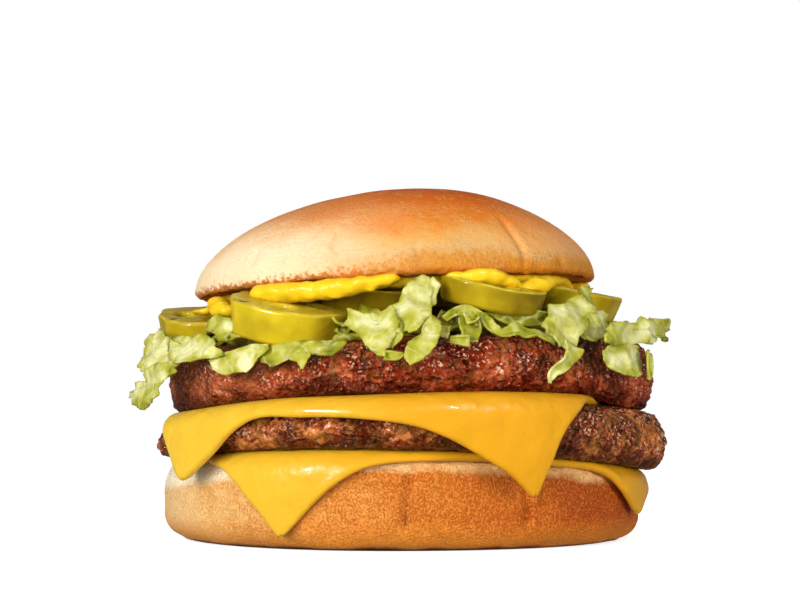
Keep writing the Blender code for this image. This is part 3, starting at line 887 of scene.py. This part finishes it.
def upper_melt(hanging, over, ray, spot):
    """Hangs free of the lower layers, swaying in slightly below the patty's side."""
    ripple = 0.45 * lumps(spot / MM, 14.0, 37.0) + 0.26 * lumps(spot / MM, 4.6, 39.0)
    ripple *= smooth_step(0.0, 4.0, over / MM)
    sway = 1.6 * smooth_step(5.0, 20.0, hanging / MM)
    pressed = math.exp(-((spot.x / MM + 10.0) / 24.0) ** 2) * (1 - smooth_step(0.0, 8.0, over / MM))
    return outward(ray, ripple - sway, -0.8 * pressed)


# ---- lettuce

def shred(body, tones, points, widths, tilt, ruffle, tone, cup=0.5, spacing=0.75):
    """Adds one torn strip of leaf to the body.

    points run along its middle and widths (mm) across it. tilt in degrees turns its face from
    outwards (0) to upwards (90). ruffle (mm) is how far its edges wave. spacing (mm) is between
    its rows of vertices.
    """
    points = [Vector(point) for point in points]
    length = sum((b - a).length for a, b in zip(points, points[1:]))
    rows = max(int(length / spacing), 6)
    columns = 12 if spacing < 0.6 else 8
    made = bmesh.ops.create_grid(body, x_segments=columns, y_segments=rows, size=1.0, calc_uvs=True)
    lean = math.radians(tilt)
    start = 3.0 * tone + 0.37 * points[0].x
    for vertex in made["verts"]:
        across, share = vertex.co.x, (vertex.co.y + 1) / 2
        spot = path_point(points, share)
        ahead = path_point(points, min(share + 0.02, 1.0)) - path_point(points, max(share - 0.02, 0.0))
        ahead.normalize()
        outwards = Vector((spot.x, spot.y, 0.0)).normalized()
        facing = math.cos(lean) * outwards + math.sin(lean) * Vector((0.0, 0.0, 1.0))
        side = ahead.cross(facing).normalized()
        facing = side.cross(ahead).normalized()
        width = width_at(widths, share)
        torn = 1 + 0.22 * noise.noise(Vector((share * length / 2.3, start, math.copysign(1.0, across))))
        torn += 0.10 * noise.noise(Vector((share * length / 0.9, start + 5.0, math.copysign(1.0, across))))
        reach = across * width / 2 * (torn if abs(across) > 0.6 else 1.0)
        wave = math.sin(share * length / 1.15 + start + (1.9 if across > 0 else 0.0))
        wave += 0.6 * math.sin(share * length / 0.62 + 2.3 * start)
        lift = ruffle * abs(across) ** 1.7 * wave + cup * (across * across - 0.4)
        crumple = 0.55 * noise.noise(spot / 3.2 + Vector((start, across, 0.0)))
        vertex.co = (spot + side * reach + facing * (lift + crumple)) * MM
        vertex[tones] = tone


def width_at(widths, share):
    course = share * (len(widths) - 1)
    i = min(int(course), len(widths) - 2)
    t = smooth_step(0.0, 1.0, course - i)
    return widths[i] + (widths[i + 1] - widths[i]) * t


# (points along the middle), (widths), tilt, ruffle, tone from pale 0 to green 1; mm
PLACED_SHREDS = [
    # curled tail of the small leaf between two pepper slices
    ([(-36.6, -35.5, 40.3), (-33.2, -38.3, 41.4), (-29.8, -41.1, 41.5)],
     (1.6, 1.8, 1), 35, 0.2, 0.45),
    # lobe joining the folded leaf in the middle to its tongue
    ([(-3.4, -56.5, 36.9), (-1.3, -56.6, 36.8), (0.2, -56, 37.3)],
     (1.6, 1.6, 0.6), 0, 0.2, 0.70),
    ([(-2.8, -53.8, 43.4), (-2.2, -54.7, 41), (-2.4, -54.9, 38.4)],
     (4.6, 4.8, 1.2), 0, 0.3, 0.80),
    ([(6.6, -50.7, 41.8), (8.9, -51.3, 41.4)], (2, 2.2), 0, 0.1, 0.45),
    # narrow ribbon winding right of the middle, with small leaves behind it
    ([(8, -49.3, 44.3), (11.5, -47.8, 45.7), (14.7, -47.5, 45.5), (16.5, -49.4, 42.9),
      (18.8, -49.8, 41.5), (22.3, -48.3, 42), (26.5, -45.5, 41.3), (29.6, -43.6, 39.9)],
     (1.8, 2.2, 2, 2.2, 2.6, 2.8, 2.6, 1.2), 42, 0.3, 0.50),
    ([(12, -47.6, 45.3), (12.9, -49.7, 42.6), (13.2, -50.8, 39.9)],
     (2.6, 4.2, 3), 0, 0.4, 0.66),
    ([(9, -51.7, 40.1), (12.8, -51.7, 39.9)], (1.2, 2.2), 0, 0.2, 0.55),
    ([(16.4, -44.6, 46.2), (20.8, -44.2, 45.5), (24.8, -42.7, 44.9), (28.6, -39.8, 44.8)],
     (1.8, 4.2, 3.6, 2), 0, 0.4, 0.95),
    # curled tail of the leaf at the right
    ([(33, -45, 39.4), (32.6, -46.6, 37.4), (30.6, -48.8, 35.4), (28.6, -50.1, 33.9),
      (28.1, -49.7, 31.9)],
     (4.6, 3.4, 2.6, 1.8, 0.5), 0, 0.3, 0.36),
    # strip hanging at the far right
    ([(49.2, -31.8, 38.6), (49.3, -33.4, 35.6), (49.2, -32.9, 33.2)],
     (1.8, 1.8, 1.2), 0, 0.2, 0.35),
]

# (corners as seen from the front: x and height), (how far out its lowest and highest corners are),
# depth of its folds, tone; mm
TORN_LEAVES = [
    # two hanging past the left end
    ([(-50.5, 44), (-53.5, 43), (-54, 40), (-55.5, 38), (-54.5, 36), (-52.5, 34.5), (-48.5, 34),
      (-45, 35), (-43.5, 36.5), (-42.5, 38.5), (-45, 41), (-48, 42)], (57, 54), 1.4, 0.14),
    ([(-52.5, 34.5), (-52.5, 33), (-55.5, 33), (-55, 31.5), (-57.5, 30.5), (-55.5, 28.5), (-53, 27),
      (-50.5, 28.5), (-48, 30), (-48.5, 31.5), (-47, 33), (-44.5, 34.5), (-46, 36.5),
      (-50, 36.5)], (58.5, 57), 1.0, 0.22),
    # draped over the patty's left end
    ([(-47, 39), (-46.5, 41.5), (-45, 42), (-42, 41.5), (-39, 42), (-37, 41), (-35.5, 39),
      (-34, 37.5), (-36.5, 37), (-38.5, 37), (-42, 36.5), (-45, 36)], (57.5, 54), 0.9, 0.24),
    # small, standing between two pepper slices
    ([(-39.5, 43), (-39, 44.5), (-38, 45.5), (-36.5, 46), (-34, 45), (-32.5, 43.5), (-32.5, 42.5),
      (-34, 42), (-34.5, 40.5), (-36, 40.5), (-37, 42)], (51.5, 49.5), 0.8, 0.34),
    # bright, lying on the patty's front left edge
    ([(-37, 36.5), (-36.5, 37.5), (-34, 38), (-32, 38.5), (-28.5, 39.5), (-25.5, 39.5),
      (-25.5, 38.5), (-26.5, 37.5), (-28, 36), (-29.5, 34), (-32.5, 34), (-34.5, 33.5),
      (-36.5, 34.5)], (56.5, 54.5), 0.8, 0.10),
    # toothed, under the front left slice
    ([(-26.5, 36), (-27, 38), (-24, 39.5), (-20.5, 40), (-17, 40), (-12, 40), (-10.5, 39.5),
      (-13, 37), (-14, 38.5), (-15.5, 38), (-17, 38), (-18, 36.5), (-19, 34.5), (-20, 36),
      (-21.5, 36.5), (-23.5, 36), (-25, 35)], (55.5, 53), 0.7, 0.52),
    # folded one in the middle: bulge, its turned-back edge, left wing and tongue
    ([(3, 52.5), (1, 51), (0, 49.5), (-0.5, 47.5), (-2.5, 46.5), (-2.5, 44), (-1, 41.5),
      (1.5, 41.5), (3, 42), (4, 43), (5.5, 44.5), (5.5, 48), (6, 50.5), (5.5, 52),
      (4, 53)], (55.5, 44.5), 1.1, 0.16),
    ([(5.5, 52), (6, 52.5), (7.5, 51), (7, 50), (6.5, 48.5), (6.5, 47), (5.5, 46.5),
      (5.2, 49)], (49.5, 46), 0.5, 0.34),
    ([(-10.5, 46), (-7.5, 45), (-4.5, 45), (-3, 46), (-2, 46.5), (-1, 45), (-0.5, 43.5),
      (-1, 41.5), (-2, 39.5), (-3, 38), (-3, 36.5), (-5, 37), (-7, 39), (-8, 41), (-9.5, 42),
      (-11, 43), (-10, 44.5)], (57, 53), 1.2, 0.24),
    ([(4, 43), (5.5, 44.5), (7.5, 43.5), (7.5, 42), (6.5, 39.5), (5, 37), (3.5, 36), (1.5, 35),
      (0.5, 37), (1, 39.5), (2, 40), (3.5, 41)], (58.5, 54), 0.9, 0.30),
    # folded one at the right, in two halves
    ([(38, 52.5), (37, 51.5), (34.5, 49.5), (32, 48), (29, 47.5), (28.5, 45.5), (27, 43.5),
      (28, 42), (30, 40.5), (30.5, 39), (32, 38.5), (33.5, 38), (35, 40), (35, 41), (36, 42.5),
      (38, 46), (39, 49.5), (39, 52)], (55.5, 46.5), 1.1, 0.34),
    ([(37, 46.5), (40, 47), (42, 46.5), (41.5, 45), (42, 44), (40, 41.5), (38, 40.5), (36, 41),
      (35, 42), (35.5, 44.5)], (53, 50), 0.9, 0.20),
    # frilly one standing out at the far right, and the rounded one below it
    ([(38.5, 40), (39, 41.5), (41, 44), (43.5, 44.5), (45, 44.5), (47.5, 44.5), (48.5, 46),
      (49.5, 45), (52, 46), (55.5, 46), (56.5, 45), (55, 43.5), (55.5, 41.5), (52, 42), (51, 40.5),
      (48.5, 40.5), (45, 39.5), (41.5, 39.5)], (57.5, 57.5), 1.5, 0.18),
    ([(39.5, 38.5), (41, 39.5), (43.5, 40), (47, 40), (48, 38.5), (48.5, 36.5), (48, 34.5),
      (46.5, 33.5), (43.5, 34), (41, 35), (40, 36.5)], (58, 56.5), 0.9, 0.26),
]

LEAF_RINGS = 14


def outline_point(corners, share):
    """A point on the closed outline through the corners, at a share of the way round."""
    course = share % 1.0 * len(corners)
    i = int(course) % len(corners)
    return corners[i].lerp(corners[(i + 1) % len(corners)], course - int(course))


def torn_leaf(body, tones, outline, reaches, folds, tone):
    """Adds a leaf with a torn outline, wrapped round the stack and folded."""
    corners = [Vector(corner) for corner in outline]
    middle = sum(corners, Vector((0.0, 0.0))) / len(corners)
    low = min(corner.y for corner in corners)
    high = max(corner.y for corner in corners)
    length = sum((b - a).length for a, b in zip(corners, corners[1:] + corners[:1]))
    made = bmesh.ops.create_grid(body, x_segments=int(length / 0.35), y_segments=LEAF_RINGS, size=1.0)
    start = 10 * tone + middle.x
    for vertex in made["verts"]:
        share, ring = (vertex.co.x + 1) / 2, (vertex.co.y + 1) / 2
        edge = outline_point(corners, share)
        frayed = Vector((edge.x, edge.y, start))
        torn = 0.08 * noise.noise(frayed / 1.3) + 0.06 * noise.noise(frayed / 0.55)
        flat = middle + (edge - middle) * ring * (1.0 + torn * ring)
        climb = min(max((flat.y - low) / (high - low), 0.0), 1.0)
        reach = reaches[0] + (reaches[1] - reaches[0]) * climb
        spot = Vector((flat.x, -math.sqrt(reach**2 - flat.x**2), flat.y))
        outwards = Vector((spot.x, spot.y, 0.0)).normalized()
        fold = folds * (0.5 - 2.4 * abs(lumps(spot, 8.0, start)))
        fold += 0.4 * folds * lumps(spot, 2.8, start + 1) + 0.10 * lumps(spot, 1.0, start + 2)
        fold += 0.7 * ring**3 * lumps(spot, 2.2, start + 3)
        vertex.co = (spot + outwards * fold) * MM
        vertex[tones] = tone + 0.34 * (ring**3 - 0.35)
    bmesh.ops.remove_doubles(body, verts=made["verts"], dist=1e-6)


FILLER_SHREDS = 78


def filler_shred(chance):
    """A strip somewhere round the bed: inside the placed ones at the front, freer elsewhere."""
    turn = math.radians(chance.uniform(-180, 180))
    front = bump(turn, 0.0, math.radians(100))
    start = chance.uniform(34, 42)
    end = start + chance.uniform(9, 15) - 3.0 * front
    height = chance.uniform(42.5, 46.0) - 1.3 * front
    fall = chance.uniform(0.5, 5.0) * (1 - 0.8 * front)
    swing = math.radians(chance.uniform(-16, 16))
    points = []
    for i in range(4):
        share = i / 3
        way = towards(turn + swing * share)
        reach = start + (end - start) * share
        ground = upper_top(way.x * min(reach, 50) * MM, way.y * min(reach, 50) * MM) / MM
        rise = max(height, ground + 1.2) - fall * share * share
        points.append((way.x * reach, way.y * reach, rise))
    middle_width = chance.uniform(3.5, 7.5)
    widths = (0.5 * middle_width, middle_width, 0.9 * middle_width, 0.4 * middle_width)
    return points, widths, chance.uniform(20, 80), chance.uniform(0.4, 1.0), chance.uniform(0.15, 0.8)


def bump(turn, middle, width):
    """1 at the bearing middle, falling smoothly to 0 at width either side."""
    away = abs((turn - middle + math.pi) % (2 * math.pi) - math.pi)
    return 0.5 + 0.5 * math.cos(math.pi * min(away / width, 1.0))


def lettuce_shreds(finish):
    body = bmesh.new()
    body.loops.layers.uv.new("UVMap")
    tones = body.verts.layers.float.new("tone")
    for points, widths, tilt, ruffle, tone in PLACED_SHREDS:
        shred(body, tones, points, widths, tilt, ruffle, tone, spacing=0.45)
    for outline, reaches, folds, tone in TORN_LEAVES:
        torn_leaf(body, tones, outline, reaches, folds, tone)
    chance = random.Random(7)
    for _ in range(FILLER_SHREDS):
        shred(body, tones, *filler_shred(chance))
    made = piece("lettuce_shreds", body, [finish], "lettuce", "lettuce")
    leaf = made.modifiers.new("Leaf thickness", "SOLIDIFY")
    leaf.thickness = 0.45 * MM
    leaf.offset = 0.0
    return made


def lettuce_core(finish):
    """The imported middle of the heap, out of sight but for gaps between shreds."""
    body = spun(patty_profile(0.05, 0.05, 6), segments=160)

    def place(co):
        reach = 45.5 * MM + 1.5 * MM * math.cos(7 * bearing(co.x, co.y))
        x = UPPER_MIDDLE.x + co.x * reach
        y = UPPER_MIDDLE.y + co.y * reach
        low = upper_top(x, y)
        return Vector((x, y, low + (0.2 + (co.z + 1) * 1.1) * MM))

    def rumpled(spot, way):
        return 0.9 * lumps(spot, 5.0, 21.0) + 0.4 * lumps(spot, 2.2, 22.0)

    reshape(body, place)
    push_out(body, rumpled)
    tones = body.verts.layers.float.new("tone")
    for vertex in body.verts:
        vertex[tones] = 0.6
    return piece("lettuce_core", body, [finish], "lettuce")


# ---- pickled pepper

def lying_plane(node):
    """(middle, facing, radius, thickness) of a pepper slice's CAD solid, in metres."""
    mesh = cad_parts[node].data
    facing = Vector()
    for polygon in mesh.polygons:
        if polygon.normal.z > 0.8:
            facing += polygon.normal * polygon.area
    facing.normalize()
    low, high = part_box(node)
    middle = (low + high) / 2
    away = [vertex.co - middle for vertex in mesh.vertices]
    levels = [offset.dot(facing) for offset in away]
    radius = max((offset - facing * level).length for offset, level in zip(away, levels))
    return middle, facing, radius, max(levels) - min(levels)


# Number of a slice that lies askew: its top's middle in mm, radius and thickness in mm, and how
# far its front and its right side hang down in degrees
ASKEW = {1: ((-40.4, -7.0, 48.0), 12.7, 7.0, 12, 0), 2: ((-21.6, -36.0, 48.1), 12.9, 7.0, 12, 8),
    3: ((-6.0, -24.5, 52.2), 12.0, 4.8, 8, 0), 4: ((18.0, -37.6, 52.0), 11.2, 5.0, 8, 9.5),
    5: ((34.7, -13.0, 52.9), 12.2, 5.6, 5, 10)}
RIPENESS = (0.18, 0.27, 0.0, -0.02, 0.18, 0.2, 0.1, 0.2)  # how yellow each slice is
TAPER = 0.09  # how much smaller a slice's lower face is than its upper one
WALL_RINGS = (0.2, 0.4, 0.6, 0.8)  # heights at which a slice's wall bulges or is dented


def askew_plane(number):
    top, radius, thickness, front_down, right_down = ASKEW[number]
    facing = Vector((math.sin(math.radians(right_down)), -math.sin(math.radians(front_down)), 0.0))
    facing.z = math.sqrt(1 - facing.length_squared)
    return Vector(top) * MM - facing * thickness / 2 * MM, facing, radius * MM, thickness * MM


def pepper_slice(number, spin, finishes):
    """A thick ring of pepper: three seed chambers between walls that meet in the middle."""
    node = f"pepper_slice_{number}"
    plane = askew_plane(number) if number in ASKEW else lying_plane(node)
    middle, facing, radius, thickness = plane
    body = bmesh.new()
    outer = bmesh.ops.create_circle(body, segments=96, radius=0.97)
    chance = random.Random(40 + number)
    phase = chance.uniform(0, 6)
    for vertex in outer["verts"]:
        turn = math.atan2(vertex.co.y, vertex.co.x)
        share = 0.975 + 0.025 * math.cos(3 * (turn - spin))
        share += 0.012 * math.cos(7 * turn + phase) + 0.008 * math.cos(12 * turn + 2 * phase)
        vertex.co *= share
    for i in range(3):
        turn = spin + 2 * math.pi * (i + 0.5) / 3
        out = Vector((math.cos(turn), math.sin(turn), 0.0))
        side = Vector((-out.y, out.x, 0.0))
        chamber = bmesh.ops.create_circle(body, segments=32, radius=1.0)
        size = chance.uniform(0.22, 0.27)
        for vertex in chamber["verts"]:
            bulge = 1 + 0.25 * vertex.co.x
            along = 0.43 + size * 0.85 * vertex.co.x
            across = 1.25 * size * vertex.co.y * bulge
            vertex.co = out * along + side * across
    bmesh.ops.triangle_fill(body, use_beauty=True, edges=body.edges[:])
    lid = body.faces[:]
    raised = bmesh.ops.extrude_face_region(body, geom=lid)
    top = [v for v in raised["geom"] if isinstance(v, bmesh.types.BMVert)]
    bmesh.ops.translate(body, verts=top, vec=(0.0, 0.0, 1.0))
    for height in WALL_RINGS:
        whole = body.verts[:] + body.edges[:] + body.faces[:]
        bmesh.ops.bisect_plane(body, geom=whole, plane_co=(0, 0, height), plane_no=(0, 0, 1))
    bmesh.ops.recalc_face_normals(body, faces=body.faces)
    for face in body.faces:
        wall = abs(face.normal.z) < 0.5
        outside = face.calc_center_median().xy.length > 0.85
        face.material_index = 0 if wall and outside else 1
    turned = facing.to_track_quat("Z", "Y").to_matrix().to_4x4()
    cupped = 0.25 * MM
    ripe = body.verts.layers.float.new("ripe")
    for vertex in body.verts:
        # painted light: each slice lighter towards its left, where the lamp is, on top of how yellow it is
        vertex[ripe] = RIPENESS[number - 1] - 0.11 * vertex.co.x
        flat = Vector((vertex.co.x, vertex.co.y)) * radius
        flat *= 1 - TAPER * (1 - vertex.co.z)
        rise = (vertex.co.z - 0.5) * thickness
        bow = cupped * math.sin(2 * math.atan2(flat.y, flat.x) + phase) * (flat.length / radius) ** 2
        spot = Vector((flat.x, flat.y, rise)) / MM
        dent = 0.45 * lumps(spot, 6.0, number) + 0.22 * lumps(spot, 2.4, number + 20)
        flat *= 1 + dent * MM / radius
        vertex.co = Vector((flat.x, flat.y, rise + bow + 0.5 * dent * MM))
    bmesh.ops.transform(body, matrix=Matrix.Translation(middle) @ turned, verts=body.verts)
    made = piece(f"pickled_pepper_slice_{number}", body, finishes, "pepper", node)
    rim = made.modifiers.new("Soft edges", "BEVEL")
    rim.width = 0.7 * MM
    rim.segments = 3
    rim.limit_method = "ANGLE"
    rim.angle_limit = math.radians(50)
    rim.use_clamp_overlap = True
    made.data.set_sharp_from_angle(angle=math.radians(50))
    return made


# ---- mustard

# Blobs squeezed out past the crown: bearing in degrees, distance out, height, and half sizes
# along the rim, outwards and upwards; mm
MUSTARD_BLOBS = [(-67, 45, 47.6, 3.2, 2.6, 0.9), (-60, 43.6, 49, 3, 2.4, 1.6),
    (-57, 44.2, 47.6, 2.9, 2.4, 1.9), (-53, 44.2, 47.2, 2, 2.2, 1.4), (-39, 43.6, 50.1, 2.9, 2.9, 2.1),
    (-35, 43.5, 50.1, 3.6, 3, 2.1), (-30, 43.3, 50.1, 3.8, 3, 2), (-28, 44.6, 48.9, 1.5, 1.3, 0.9),
    (-25, 43.2, 50.2, 3.8, 3, 2.1), (-20, 43.2, 50.4, 3.8, 3, 2.2), (-17, 44.5, 49.1, 1.4, 1.2, 0.9),
    (-15, 43.1, 50.8, 3.6, 3, 1.9), (-10, 42.8, 51.4, 3.4, 2.9, 1.7), (-8, 44, 50.3, 1.2, 1.1, 0.8),
    (-6, 42.5, 51.9, 3.2, 2.7, 1.5), (-3, 42.2, 52.5, 2, 2.3, 1.1), (15, 42.6, 52.9, 3, 2.6, 1.1),
    (20, 43.6, 52.9, 3.8, 3, 1.8), (24, 43.8, 52.8, 3.6, 3, 1.9), (28, 43.6, 52.1, 2.8, 2.8, 1.5),
    (31, 43.2, 51.3, 1.6, 2, 0.9), (35, 43.6, 51.1, 2, 2.2, 1.3), (38.5, 43.4, 51.8, 2.8, 2.5, 1.8),
    (42, 43.2, 52.4, 1.9, 2.2, 1.3), (90, 38.6, 53.8, 4, 2.6, 1.5), (99, 38.6, 53.6, 3.4, 2.4, 1.2),
    (128, 42.2, 53.4, 5, 3, 1.9), (137, 41.6, 53, 3.2, 2.6, 1.5), (163, 41.8, 52.4, 4.6, 3, 1.8),
    (172, 42.6, 52, 4.2, 3.2, 1.9), (-168, 41.6, 51.8, 3.4, 2.6, 1.5), (-140, 42, 51.2, 4.2, 3, 1.8),
    (-131, 42.8, 50.8, 4, 2.8, 1.7), (-104, 42, 50.2, 4, 2.8, 1.5)]


def mustard(finish):
    body = spun(patty_profile(0.03, 0.03, 5), segments=200)

    def place(co):
        reach = (39.3 + 1.2 * math.cos(5 * bearing(co.x, co.y) + 2.1)) * MM
        x = CROWN_MIDDLE.x + co.x * reach
        y = CROWN_MIDDLE.y + co.y * reach
        return Vector((x, y, crown_seat(x, y) - 0.8 * MM + co.z * 1.1 * MM))

    reshape(body, place)
    for degrees, out, height, along, outwards, upwards in MUSTARD_BLOBS:
        turn = math.radians(degrees)
        way = towards(turn)
        spot = Vector((way.x * out, way.y * out, height)) * MM
        grow = Matrix.Diagonal((along * MM, outwards * MM, upwards * MM, 1.0))
        place_blob = Matrix.Translation(spot) @ Matrix.Rotation(turn, 4, "Z") @ grow
        bmesh.ops.create_icosphere(body, subdivisions=4, radius=1.0, matrix=place_blob)
    rough = piece("mustard_rough", body, [finish], "mustard")
    merge = rough.modifiers.new("Merge", "REMESH")
    merge.mode = "VOXEL"
    merge.voxel_size = 0.45 * MM
    relax = rough.modifiers.new("Relax", "SMOOTH")
    relax.factor = 0.5
    relax.iterations = 9
    graph = bpy.context.evaluated_depsgraph_get()
    smooth = bmesh.new()
    smooth.from_object(rough, graph)
    bpy.data.objects.remove(rough)

    def runny(spot, way):
        return 0.34 * lumps(spot, 3.6, 51.0) + 0.16 * lumps(spot, 1.7, 52.0)

    push_out(smooth, runny)
    return piece("mustard_layer", smooth, [finish], "mustard", "mustard")


# ---- studio

ROOM_LIGHT = 0.35  # how brightly the white room lights the food, where 1 is as it looks
ROOM_SHINE = 0.16  # how brightly the food mirrors it


def studio():
    floor_mesh = bpy.data.meshes.new("studio_floor")
    floor_body = bmesh.new()
    bmesh.ops.create_grid(floor_body, x_segments=2, y_segments=2, size=3.0)
    bmesh.ops.translate(floor_body, verts=floor_body.verts, vec=(0.0, 0.0, -0.05 * MM))
    floor_body.to_mesh(floor_mesh)
    floor_body.free()
    paper, tree, shader, place = new_material("white_studio_paper", 0.9)
    fibres = add(tree, "TexNoise", {"Vector": place, "Scale": per(30.0), "Detail": 2.0})
    shade = add(tree, "ValToRGB", {"Fac": fibres}, stops=[(0.3, "f6f6f6"), (0.7, "fafafa")])
    wire(shader, "Base Color", shade)
    shader.inputs["Emission Color"].default_value = (1.0, 1.0, 1.0, 1.0)
    shader.inputs["Emission Strength"].default_value = 0.75
    floor_mesh.materials.append(paper)
    floor = bpy.data.objects.new("studio_floor", floor_mesh)
    bpy.context.scene.collection.objects.link(floor)
    floor.visible_diffuse = False
    floor.visible_glossy = False

    world = bpy.data.worlds.new("studio_light")
    world.use_nodes = True
    background = world.node_tree.nodes["Background"]
    background.inputs["Color"].default_value = (1.0, 1.0, 1.0, 1.0)
    ray = world.node_tree.nodes.new("ShaderNodeLightPath").outputs
    mirrored = summed(world.node_tree, ROOM_LIGHT, (ray["Is Glossy Ray"], ROOM_SHINE - ROOM_LIGHT))
    strength = add(world.node_tree, "MapRange", {"Value": ray["Is Camera Ray"], "To": (mirrored, 1.0)})
    world.node_tree.links.new(strength.outputs["Result"], background.inputs["Strength"])
    bpy.context.scene.world = world
    bpy.context.scene.view_settings.view_transform = "Standard"

    softbox("key_softbox", (-0.42, -0.52, 0.24), 0.28, 2.72, shines=False)
    softbox("fill_softbox", (0.52, -0.47, 0.08), 0.24, 2.9, shines=False)
    softbox("low_softbox", (-0.24, -0.56, 0.02), 0.34, 3.3, shines=False)
    softbox("left_glint", (-0.43, -0.52, 0.30), 0.07, 5.0, lights=False)
    softbox("right_glint", (0.26, -0.42, 0.50), 0.06, 2.0, lights=False)


def softbox(name, place, side, watts, lights=True, shines=True):
    """A square area light that faces the middle of the stack.

    It lights matt surfaces unless lights is False, and gives highlights unless shines is False.
    """
    light = bpy.data.lights.new(name, "AREA")
    light.shape = "SQUARE"
    light.size = side
    light.energy = watts
    lamp = bpy.data.objects.new(name, light)
    lamp.location = place
    lamp.visible_diffuse = lights
    lamp.visible_glossy = shines
    aim = Vector((0.0, 0.0, 0.035)) - Vector(place)
    lamp.rotation_euler = aim.to_track_quat("-Z", "Y").to_euler()
    bpy.context.scene.collection.objects.link(lamp)


def camera():
    lens = bpy.data.cameras.new("camera")
    lens.lens = 80.7
    lens.sensor_width = 36.0
    lens.clip_start = 0.01
    view = bpy.data.objects.new("camera", lens)
    view.location = (-0.4 * MM, -390 * MM, 23.0 * MM)
    view.rotation_euler = (math.radians(90 + 4.16), 0.0, 0.0)
    bpy.context.scene.collection.objects.link(view)
    bpy.context.scene.camera = view


# ---- the stack

def build():
    camera()
    studio()
    bun_heel()
    cheese = melted_cheese()
    cheese_slice("cheese_slice_lower", "cheese_lower", LOWER_CORNERS, LOWER_BENDS, HEEL_MIDDLE,
        heel_outline, heel_top, lower_melt, cheese)
    beef_patty("beef_patty_lower", "patty_lower", LOWER_MIDDLE, lower_outline, lower_bottom, lower_top,
        seared_beef("seared_minced_beef_lower", ("3c1205", "8e431c", "c87436"), 0.6, 0.0), lump=0.55,
        seed=3.0)
    cheese_slice("cheese_slice_upper", "cheese_upper", UPPER_CORNERS, UPPER_BENDS, LOWER_MIDDLE,
        lower_outline, lower_top, upper_melt, cheese)
    beef_patty("beef_patty_upper", "patty_upper", UPPER_MIDDLE, upper_outline, upper_rest, upper_top,
        seared_beef("seared_minced_beef_upper", ("400c03", "8c2c10", "b45028"), 0.35, 0.6), lump=0.50,
        seed=13.0)
    leaf = iceberg_leaf()
    lettuce_core(leaf)
    lettuce_shreds(leaf)
    pepper = [pickled_skin(), pickled_flesh()]
    for number, spin in enumerate((10, 35, 80, 50, 20, 65, 0, 40), 1):
        pepper_slice(number, math.radians(spin), pepper)
    mustard(yellow_mustard())
    bun_crown()


build()
